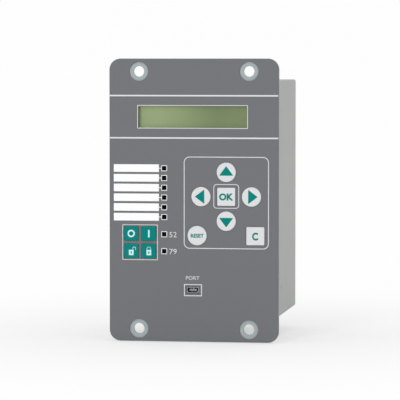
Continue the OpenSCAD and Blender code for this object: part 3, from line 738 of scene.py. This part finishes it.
def frame_loops(middle, size, line, radius):
    """Outside and inside of a printed frame."""
    inner_size = (size[0] - 2 * line, size[1] - 2 * line)
    inner_radius = max(radius - line, HAIR_CORNER)
    return [rounded_loop(middle, size, radius), rounded_loop(middle, inner_size, inner_radius)]


def bar(left, right, low, high, radius=HAIR_CORNER):
    """A straight printed bar."""
    middle = ((left + right) / 2, (low + high) / 2)
    return [rounded_loop(middle, (right - left, high - low), radius)]


print("ink in micrometres:", round(INK / MM * 1000))

# %% [markdown]
# ## Lines round the display
# A fine light frame follows the edge of the clear window, and two rules cross the whole film above and below
# it. Their places could be typed in, but they are taken from the boxes of the window and the film, so they
# follow when those change.

# %% Lines round the display
film_low, film_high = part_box("overlay_film")
film_front = film_low.y
window_low, window_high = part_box("display_window")
window_middle = face_middle((window_low, window_high))
window_size = (window_high.x - window_low.x, window_high.z - window_low.z)
WINDOW_LINE, WINDOW_CORNER = 0.4 * MM, 0.1 * MM
window_frame = frame_loops(window_middle, window_size, WINDOW_LINE, WINDOW_CORNER)
print_shapes("display_frame", [window_frame], film_front)

RULE_AWAY, RULE_H, RULE_INSET = 13.2 * MM, 0.9 * MM, 0.15 * MM
rules = []
for side in (-1, 1):
    rule_low = window_middle[1] + side * RULE_AWAY - RULE_H / 2
    rules.append(bar(film_low.x + RULE_INSET, film_high.x - RULE_INSET, rule_low, rule_low + RULE_H))
print_shapes("display_rules", rules, film_front)
print("display frame in mm:", [round(side / MM, 2) for side in window_size])

# %% [markdown]
# ## Frames round the keys and the port
# Light frames group what belongs together: the keypad, its middle key, the four command keys and the port.
# Each takes its middle from the pieces inside it and its own size from the print, because a print is never
# quite centred on what it goes round.

# %% Frames round the keys and the port
PAD_DROP, PAD_SIZE, PAD_LINE, PAD_CORNER = 3.85 * MM, (53.55 * MM, 57.5 * MM), 0.48 * MM, 3.6 * MM
CONFIRM_UP, CONFIRM_SIZE = 0.25 * MM, (16.1 * MM, 15.2 * MM)
CONFIRM_LINE, CONFIRM_CORNER = 0.42 * MM, 2 * MM
pad_middle = key_place("confirm").middle
pad_frame = frame_loops(moved(pad_middle, 0, -PAD_DROP), PAD_SIZE, PAD_LINE, PAD_CORNER)
confirm_frame = frame_loops(moved(pad_middle, 0, CONFIRM_UP), CONFIRM_SIZE, CONFIRM_LINE, CONFIRM_CORNER)
print_shapes("keypad_frames", [pad_frame, confirm_frame], film_front)

COMMAND_SIZE, COMMAND_LINE, COMMAND_BEND = (22.5 * MM, 22.25 * MM), 0.38 * MM, 0.3 * MM
open_middle, lock_middle = key_place("open").middle, key_place("lock").middle
command_middle = ((open_middle[0] + lock_middle[0]) / 2, (open_middle[1] + lock_middle[1]) / 2)
command_frame = frame_loops(command_middle, COMMAND_SIZE, COMMAND_LINE, COMMAND_BEND)
print_shapes("command_frame", [command_frame], film_front)

PORT_ASIDE, PORT_SIZE = 0.15 * MM, (11.35 * MM, 7.5 * MM)
PORT_LINE, PORT_CORNER = 0.5 * MM, 0.15 * MM
port_middle = face_middle(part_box("port_shell"))
port_frame = frame_loops(moved(port_middle, PORT_ASIDE, 0), PORT_SIZE, PORT_LINE, PORT_CORNER)
print_shapes("port_frame", [port_frame], film_front)
print("keypad frame in mm:", [round(side / MM, 2) for side in PAD_SIZE])

# %% [markdown]
# ## Indicator frames
# Every indicator lens has a black surround and a light frame round that, and a short tick joins it to the
# label strip that names it. The rows follow the strips, and the last two stand beside the command keys, just
# above the lower edge of the block of lenses. All rows of one ink make one piece, because they never move
# apart.

# %% Indicator frames
strip_low, strip_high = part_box("label_strips")
lens_low, lens_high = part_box("indicator_lenses")
STRIPS, STRIP_H = 6, 4.75 * MM
STATE_PITCH = 10.6 * MM
LENS_FRAME, LENS_LINE, LENS_CORNER = 3.68 * MM, 0.36 * MM, 0.5 * MM
SURROUND_LINE = 0.2 * MM
TICK_H = 0.4 * MM
strip_pitch = (strip_high.z - strip_low.z - STRIP_H) / (STRIPS - 1)
strip_rows = [strip_high.z - STRIP_H / 2 - row * strip_pitch for row in range(STRIPS)]
state_low = lens_low.z + (lens_high.x - lens_low.x) / 2
lens_rows = strip_rows + [state_low + STATE_PITCH, state_low]
lens_x = (lens_low.x + lens_high.x) / 2
surround = LENS_FRAME - 2 * LENS_LINE

marks, surrounds = [], []
for z in lens_rows:
    marks.append(frame_loops((lens_x, z), (LENS_FRAME, LENS_FRAME), LENS_LINE, LENS_CORNER))
    surrounds.append(frame_loops((lens_x, z), (surround, surround), SURROUND_LINE, LENS_CORNER - LENS_LINE))
for z in strip_rows:
    marks.append(bar(strip_high.x, lens_x - LENS_FRAME / 2, z - TICK_H / 2, z + TICK_H / 2))
print_shapes("indicator_frames", marks, film_front, finish="label_white")
print_shapes("indicator_surrounds", surrounds, film_front, finish="smoked_lens")
print("indicators:", len(lens_rows))

# %% [markdown]
# ## Arrows on the keys
# The arrow keys carry green triangles with slightly blunt corners. A font has arrows too, but its triangles
# have other sides. So three short arcs make the outline, turned to each key's heading. Each arrow rides on
# its own key and moves when the key is pressed.

# %% Arrows on the keys
TIP, BASE_BACK, BASE_HALF = 3.38 * MM, 1.8 * MM, 3.9 * MM
BLUNT, BLUNT_STEPS = 0.3 * MM, 6
HEADINGS = {"up": 90, "left": 180, "down": 270, "right": 0}


def arrow_loop(middle, heading):
    """Triangle with blunt corners that points in a heading given in degrees."""
    angle = math.radians(heading)
    along = Vector((math.cos(angle), math.sin(angle)))
    aside = Vector((-along.y, along.x))
    tip = Vector(middle) + along * TIP
    base = Vector(middle) - along * BASE_BACK
    flank = math.degrees(math.atan2(TIP + BASE_BACK, BASE_HALF))
    points = arc(tip, BLUNT, heading - flank, heading + flank, BLUNT_STEPS)
    points += arc(base + aside * BASE_HALF, BLUNT, heading + flank, heading + 180, BLUNT_STEPS)
    points += arc(base - aside * BASE_HALF, BLUNT, heading + 180, heading + 360 - flank, BLUNT_STEPS)
    return points


def key_ink(key, what, shapes, finish, lift=0.0):
    """Ink on a key, riding on that key."""
    print_shapes(key + "_" + what, shapes, key_place(key).front, key + "_key", finish, lift)


for key, heading in HEADINGS.items():
    key_ink(key, "arrow", [[arrow_loop(key_place(key).middle, heading)]], "ink_green")
print("arrows:", len(HEADINGS))

# %% [markdown]
# ## Signs on the command keys
# The command keys carry the common signs for off, on, unlocked and locked, in white ink. A padlock is a block
# with a bent bar on it, and its keyhole is green ink on top of the white. Cutting the hole out of the block
# would need a boolean, and ink on ink looks the same.

# %% Signs on the command keys
RING_R, RING_LINE = 2.35 * MM, 0.93 * MM
ON_SIZE, ON_CORNER = (1.0 * MM, 4.75 * MM), 0.3 * MM
LOCK_SIZE, LOCK_DROP, LOCK_CORNER = (3.0 * MM, 3.35 * MM), 1.0 * MM, 0.15 * MM
SHACKLE_LINE, BEND_STEPS = 0.29 * MM, 16
HOLE_R, HOLE_FOOT, HOLE_DROP, HOLE_LIFT = 0.5 * MM, 0.35 * MM, 0.95 * MM, 0.012 * MM
HOLE_START, HOLE_END = -55, 235


def shackle_loop(foot, outside, leg):
    """Bent bar of a padlock, standing on the point between its feet."""
    turn = moved(foot, 0, leg)
    inside = outside - SHACKLE_LINE
    outer_bend = arc(turn, outside, 0, 180, BEND_STEPS)
    inner_bend = arc(turn, inside, 180, 0, BEND_STEPS)
    outer = [moved(foot, outside, 0), *outer_bend, moved(foot, -outside, 0)]
    inner = [moved(foot, -inside, 0), *inner_bend, moved(foot, inside, 0)]
    return outer + inner


def keyhole_loop(middle):
    """Round hole with a foot below it."""
    foot = [moved(middle, -HOLE_FOOT, -HOLE_DROP), moved(middle, HOLE_FOOT, -HOLE_DROP)]
    return arc(middle, HOLE_R, HOLE_START, HOLE_END, BEND_STEPS) + foot


def padlock(key, shackle_aside, shackle_r, leg):
    """A padlock with its bar over the block or beside it."""
    block = moved(key_place(key).middle, 0, -LOCK_DROP)
    foot = moved(block, shackle_aside, LOCK_SIZE[1] / 2)
    shapes = [[rounded_loop(block, LOCK_SIZE, LOCK_CORNER)], [shackle_loop(foot, shackle_r, leg)]]
    key_ink(key, "sign", shapes, "ink_white")
    key_ink(key, "keyhole", [[keyhole_loop(moved(block, 0, HOLE_R / 2))]], "ink_green", HOLE_LIFT)


off_ring = [circle(open_middle, RING_R), circle(open_middle, RING_R - RING_LINE)]
key_ink("open", "sign", [off_ring], "ink_white")
key_ink("close", "sign", [[rounded_loop(key_place("close").middle, ON_SIZE, ON_CORNER)]], "ink_white")
padlock("lock", shackle_aside=0.0, shackle_r=1.3 * MM, leg=0.7 * MM)
padlock("unlock", shackle_aside=1.9 * MM, shackle_r=1.05 * MM, leg=0.95 * MM)
print("signs on", len(GREEN_KEYS), "keys")

# %% [markdown]
# ## Lettering
# Blender's own font sets the few plain words. A text object could stay as it is, but a mesh can be fitted to
# the exact width and height that the print has, and it exports like every other piece. So each text is
# turned into a mesh, stretched to its size and laid on its face.

# %% Lettering
LETTER_DEPTH, LETTER_STEPS = 0.02, 3


def text_mesh(name, words, weight, line_step):
    """Words as a mesh, in the font's own size."""
    data = bpy.data.curves.new(name, "FONT")
    data.body = words
    data.align_x = "CENTER"
    data.space_line = line_step
    data.extrude = LETTER_DEPTH
    data.offset = weight
    data.resolution_u = LETTER_STEPS
    source = bpy.data.objects.new(name + "_source", data)
    bpy.context.collection.objects.link(source)
    bpy.context.view_layer.update()
    mesh = bpy.data.meshes.new_from_object(source.evaluated_get(bpy.context.evaluated_depsgraph_get()))
    bpy.data.objects.remove(source)
    bpy.data.curves.remove(data)
    return mesh


def letters(name, words, middle, size, surface, body="relay", finish="ink_light",
            weight=0.0, facing=-1, line_step=1.0):
    """Words fitted to a width and height on a face that looks to the front (-1) or to the back (1)."""
    mesh = text_mesh(name, words, weight, line_step)
    corners = [vertex.co for vertex in mesh.vertices]
    low = Vector([min(corner[axis] for corner in corners) for axis in range(3)])
    high = Vector([max(corner[axis] for corner in corners) for axis in range(3)])
    span = high - low
    fit = Matrix.Diagonal((size[0] / span.x, size[1] / span.y, (INK + SUNK) / span.z, 1))
    upright = Matrix.Rotation(QUARTER_TURN, 4, "X")
    turned = Matrix.Rotation(0 if facing < 0 else math.pi, 4, "Z")
    depth = surface + facing * (INK - SUNK) / 2
    mesh.transform(Matrix.Translation(-(low + high) / 2))
    mesh.transform(Matrix.Translation((middle[0], depth, middle[1])) @ turned @ upright @ fit)
    return place_piece(name, mesh, body, finish)


print("lettering helpers ready")

# %% [markdown]
# ## Words on the front
# Three keys carry a word, the two lower indicators a plain number, and the port its name. The words on the
# keys are bold, which a second font could give. Here the outline of the one font is made a little heavier,
# and a little lighter for the numbers.

# %% Words on the front
# Each key's word, its width and height, its extra weight, and how far it lies from the key's middle
KEY_WORDS = {
    "confirm": ("OK", (9.1 * MM, 4.5 * MM), 0.05, (0.0, -0.1 * MM)),
    "clear": ("C", (3.8 * MM, 5.0 * MM), 0.045, (-0.2 * MM, -0.24 * MM)),
    "reset": ("RESET", (8.2 * MM, 2.45 * MM), 0.04, (0.1 * MM, -0.08 * MM)),
}
for key, (words, size, weight, aside) in KEY_WORDS.items():
    place = key_place(key)
    middle = moved(place.middle, *aside)
    letters(key + "_word", words, middle, size, place.front, key + "_key", "ink_green", weight)

NUMBERS = ("52", "79")
NUMBER_SIZE, NUMBER_WEIGHT = (4.6 * MM, 3.3 * MM), -0.006
NUMBER_AWAY, NUMBER_DROP = 5.6 * MM, 0.2 * MM
for words, z in zip(NUMBERS, lens_rows[-2:]):
    middle = (lens_x + NUMBER_AWAY, z - NUMBER_DROP)
    letters("number_" + words, words, middle, NUMBER_SIZE, film_front, weight=NUMBER_WEIGHT)

CAPTION_SIZE, CAPTION_UP = (8.6 * MM, 2.3 * MM), 7.6 * MM
letters("port_caption", "PORT", moved(port_middle, 0, CAPTION_UP), CAPTION_SIZE, film_front)
print("words:", len(KEY_WORDS) + len(NUMBERS) + 1)

# %% [markdown]
# ## Port contacts
# Five tinned strips lie on the tongue of the port. They are thin, but they are what tells a socket from a
# plain slot when someone looks into it. A striped finish would stay flat, so each strip is a small bar with
# its own thickness.

# %% Port contacts
plated("tin", tone(226, 229, 234), 0.24)
CONTACTS, CONTACT_W, CONTACT_PITCH, CONTACT_T = 5, 0.4 * MM, 0.8 * MM, 0.12 * MM
CONTACT_CORNER, CONTACT_FRONT, CONTACT_BACK = 0.04 * MM, 0.3 * MM, 3.2 * MM
TONGUE_T = 1.1 * MM
tongue_low, tongue_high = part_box("port_tongue")
contact_low = port_middle[1] + TONGUE_T / 2
mesh = bmesh.new()
for index in range(CONTACTS):
    left = port_middle[0] + (index - (CONTACTS - 1) / 2) * CONTACT_PITCH - CONTACT_W / 2
    strip = bar(left, left + CONTACT_W, contact_low, contact_low + CONTACT_T, CONTACT_CORNER)
    add_sheet(mesh, strip, tongue_low.y + CONTACT_FRONT, tongue_high.y - CONTACT_BACK)
add_piece("port_contacts", mesh, "relay", "tin")
print("contacts:", CONTACTS)

# %% [markdown]
# ## Rivets on the sides
# Each side wall has two small rivets, painted over with the case, that show as faint bumps. A squashed sphere
# would do, but its lower half would hide in the wall. So each head is a stack of rings that draw in like a
# dome, laid straight onto its wall.

# %% Rivets on the sides
RIVET_R, RIVET_H = 2.0 * MM, 0.25 * MM
RIVET_RINGS, RIVET_STEPS = 5, 32
RIVET_BACK, RIVET_AWAY = 36 * MM, 56 * MM


def add_rivet(mesh, wall_x, out, z):
    """A dome on a side wall, with out as the side that it stands on."""
    rings = []
    for ring in range(RIVET_RINGS):
        turn = QUARTER_TURN * ring / RIVET_RINGS
        x = wall_x + out * RIVET_H * math.sin(turn)
        outline = circle((RIVET_BACK, z), RIVET_R * math.cos(turn), RIVET_STEPS)
        rings.append([mesh.verts.new((x, y, height)) for y, height in outline])
    add_stack(mesh, rings)


sleeve_low, sleeve_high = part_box("case_sleeve")
mesh = bmesh.new()
for wall_x, out in ((sleeve_low.x, -1), (sleeve_high.x, 1)):
    for z in (-RIVET_AWAY, RIVET_AWAY):
        add_rivet(mesh, wall_x, out, z)
rivets = add_piece("side_rivets", mesh, "relay", "case_paint")
smooth_walls(rivets)
print("rivet faces:", len(rivets.data.polygons))

# %% [markdown]
# ## Numbers on the rear plate
# Whoever wires the relay needs to know which screw is which, so each terminal has a plain number beside it.
# Every number could be a text of its own. One text with a line for each terminal is less work, and its line
# step is chosen so that the lines keep the terminals' pitch.

# %% Numbers on the rear plate
grainy("ink_dark", tone(38, 39, 42), 0.55, depth=0.003 * MM, gloss=0.3)
DIGIT_H, DIGIT_SHARE = 2.3 * MM, 0.7
ONE_DIGIT_W, TWO_DIGITS_W = 1.5 * MM, 3 * MM
NUMBER_GAP = 3.2 * MM
CURRENT_POLES, CURRENT_PITCH = 8, 9.5 * MM
SIGNAL_POLES, SIGNAL_PITCH, SIGNAL_ENDS = 10, 5.08 * MM, 4 * MM
UPPER_FIRST, LOWER_FIRST = 11, 21
rear_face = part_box("rear_plate")[1].y


def number_column(name, first, count, pitch, middle, width):
    """Numbers under one another, a pitch apart."""
    words = "\n".join(str(first + index) for index in range(count))
    size = (width, (count - 1) * pitch + DIGIT_H)
    letters(name, words, middle, size, rear_face, finish="ink_dark", facing=1,
            line_step=pitch / DIGIT_H * DIGIT_SHARE)


current_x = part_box("current_terminals")[0].x - NUMBER_GAP
number_column("current_numbers", 1, CURRENT_POLES, CURRENT_PITCH, (current_x, 0), ONE_DIGIT_W)
signal_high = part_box("signal_terminals")[1]
signal_x = signal_high.x + NUMBER_GAP
signal_z = signal_high.z - (SIGNAL_POLES * SIGNAL_PITCH + SIGNAL_ENDS) / 2
for name, first, z in (("upper_numbers", UPPER_FIRST, signal_z), ("lower_numbers", LOWER_FIRST, -signal_z)):
    number_column(name, first, SIGNAL_POLES, SIGNAL_PITCH, (signal_x, z), TWO_DIGITS_W)
print("rear numbers:", CURRENT_POLES + 2 * SIGNAL_POLES)

# %% [markdown]
# ## Earth sign
# The common earth sign stands over the earth stud: an upright on three bars that grow shorter. Few fonts have
# it, so it is drawn with the same bars as the rules on the front, on a face that looks the other way.

# %% Earth sign
SIGN_UP, SIGN_STEP, SIGN_LINE, SIGN_STEM = 11 * MM, 1.2 * MM, 0.6 * MM, 3 * MM
SIGN_HALVES = (2.6 * MM, 1.7 * MM, 0.8 * MM)
earth_middle = face_middle(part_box("earth_nut"))
sign_x, sign_z = moved(earth_middle, 0, SIGN_UP)
sign = [bar(sign_x - SIGN_LINE / 2, sign_x + SIGN_LINE / 2, sign_z, sign_z + SIGN_STEM)]
for index, half in enumerate(SIGN_HALVES):
    low = sign_z - index * SIGN_STEP - SIGN_LINE / 2
    sign.append(bar(sign_x - half, sign_x + half, low, low + SIGN_LINE))
print_shapes("earth_sign", sign, rear_face, finish="ink_dark", facing=1)
print("bars of the earth sign:", len(sign))

# %% [markdown]
# ## Thread of the earth stud
# A stud without its thread looks like a nail. The Screw modifier could wind the thread from a zig-zag line,
# but the stud also needs a core and a head, so the helix is laid down here point by point: one row of points
# climbs along the roots, another along the crests, half a pitch further on.

# %% Thread of the earth stud
THREAD_PITCH, THREAD_DEPTH, THREAD_STEPS = 0.8 * MM, 0.42 * MM, 24
HEAD_R, HEAD_T = 4 * MM, 1.5 * MM
CREST_R = 2.5 * MM
ROOT_R = CREST_R - THREAD_DEPTH
stud_low, stud_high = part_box("earth_stud")
shank_start = stud_low.y + HEAD_T
turns = int((stud_high.y - shank_start) / THREAD_PITCH) - 1
mesh = bmesh.new()
add_sheet(mesh, [circle(earth_middle, HEAD_R)], stud_low.y, shank_start)
add_sheet(mesh, [circle(earth_middle, ROOT_R)], shank_start, stud_high.y)
roots, crests = [], []
for step in range((turns + 1) * THREAD_STEPS + 1):
    angle = 2 * math.pi * step / THREAD_STEPS
    depth = shank_start + THREAD_PITCH * step / THREAD_STEPS
    for row, radius, ahead in ((roots, ROOT_R, 0), (crests, CREST_R, THREAD_PITCH / 2)):
        x, z = moved(earth_middle, radius * math.cos(angle), radius * math.sin(angle))
        row.append(mesh.verts.new((x, min(depth + ahead, stud_high.y), z)))
for step in range(turns * THREAD_STEPS):
    later = step + THREAD_STEPS
    mesh.faces.new((roots[step], roots[step + 1], crests[step + 1], crests[step]))
    mesh.faces.new((crests[step], crests[step + 1], roots[later + 1], roots[later]))
stud = add_piece("earth_stud_thread", mesh, "relay", "earth_brass")
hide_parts("earth_stud")
print("thread turns:", turns)

# %% [markdown]
# ## Floor
# The relay is bolted to a door in use, but here its plate stands over a white sheet that runs to the horizon.
# A plane of 60 metres is simpler than a curved backdrop, and it looks the same from every side.

# %% Floor
FLOOR_SIDE, FLOOR_DROP = 60, 0.3 * MM
floor_mesh = bmesh.new()
bmesh.ops.create_grid(floor_mesh, x_segments=1, y_segments=1, size=FLOOR_SIDE / 2)
floor_data = bpy.data.meshes.new("floor")
floor_mesh.to_mesh(floor_data)
floor_mesh.free()
floor = bpy.data.objects.new("floor", floor_data)
floor.location = (0, (cad_box[0].y + cad_box[1].y) / 2, cad_box[0].z - FLOOR_DROP)
bpy.context.collection.objects.link(floor)
print("floor at mm:", round(floor.location.z / MM, 1))

# %% [markdown]
# ## White sheet
# A lit sheet is never as white as a page, and more light would bleach the relay. So for the camera the sheet
# is part lit white and part plain white: less of the plain white near the object, where its soft shadow
# stays, and nearly all of it further away.

# %% White sheet
SHEET_WHITE = tone(253, 253, 253)
NEAR_GLOW, FAR_GLOW = 0.55, 0.92
GLOW_START, GLOW_END = 60 * MM, 360 * MM


def seen_directly(wire):
    """1 for what the camera sees, also in a mirror or through glass, and 0 for other light."""
    path = wire.node("LightPath", out="Is Camera Ray")
    seen = path + path.also("Is Glossy Ray") + path.also("Is Transmission Ray")
    return wire.math("MINIMUM", seen, 1.0)


sheet = start_finish("white_sheet")
lit = sheet.node("BsdfDiffuse", inputs={"Color": SHEET_WHITE})
plain = sheet.node("Emission", inputs={"Color": WHITE, "Strength": 1.0})
away = sheet.node("VectorMath", {"operation": "LENGTH"}, {0: own_place(sheet)}, out="Value")
glow = ease(sheet, away, GLOW_START, GLOW_END, NEAR_GLOW, FAR_GLOW)
mixed = sheet.node("MixShader", inputs={0: glow * seen_directly(sheet), 1: lit, 2: plain})
sheet.node("OutputMaterial", inputs={"Surface": mixed})
floor_data.materials.append(finishes["white_sheet"])
print("plain white near and far:", NEAR_GLOW, FAR_GLOW)

# %% [markdown]
# ## Sky
# A studio lights such a box with large soft lamps from above. A sky that grows brighter towards the top does
# the same with no lamp to place, and its noise is low. The camera sees a plain white backdrop instead of it.

# %% Sky
LOW_SKY, HIGH_SKY, SKY_SEEN = 0.2, 1.12, 0.985
world = bpy.data.worlds.new("sky")
world.use_nodes = True
world.node_tree.nodes.clear()
sky = Wire(world.node_tree)
direction = sky.node("TexCoord", out="Generated")
rise = sky.node("SeparateXYZ", inputs={"Vector": direction}, out="Z")
low_light = sky.node("Background", inputs={"Color": WHITE, "Strength": LOW_SKY})
high_light = sky.node("Background", inputs={"Color": WHITE, "Strength": HIGH_SKY})
lighting = sky.node("MixShader", inputs={0: sky.math("MAXIMUM", rise), 1: low_light, 2: high_light})
backdrop = sky.node("Background", inputs={"Color": WHITE, "Strength": SKY_SEEN})
both = sky.node("MixShader", inputs={0: seen_directly(sky), 1: lighting, 2: backdrop})
sky.node("OutputWorld", inputs={"Surface": both})
bpy.context.scene.world = world
print("sky from", LOW_SKY, "to", HIGH_SKY)

# %% [markdown]
# ## Sun
# Light from everywhere leaves a front flat. A low sun from the left throws a narrow shadow into the display's
# recess and lights the front evenly. It is given a wide disc, because a small one would draw hard edges.

# %% Sun
SUN_FROM = Vector((-0.25, -0.95, 0.2))
SUN_STRENGTH = 1.0
SUN_SPREAD = math.radians(12)
sun_data = bpy.data.lights.new("sun", "SUN")
sun_data.energy = SUN_STRENGTH
sun_data.angle = SUN_SPREAD
sun = bpy.data.objects.new("sun", sun_data)
sun.rotation_euler = SUN_FROM.to_track_quat("Z", "Y").to_euler()
bpy.context.collection.objects.link(sun)
bpy.context.scene.view_settings.view_transform = "Standard"
print("sun strength:", SUN_STRENGTH)
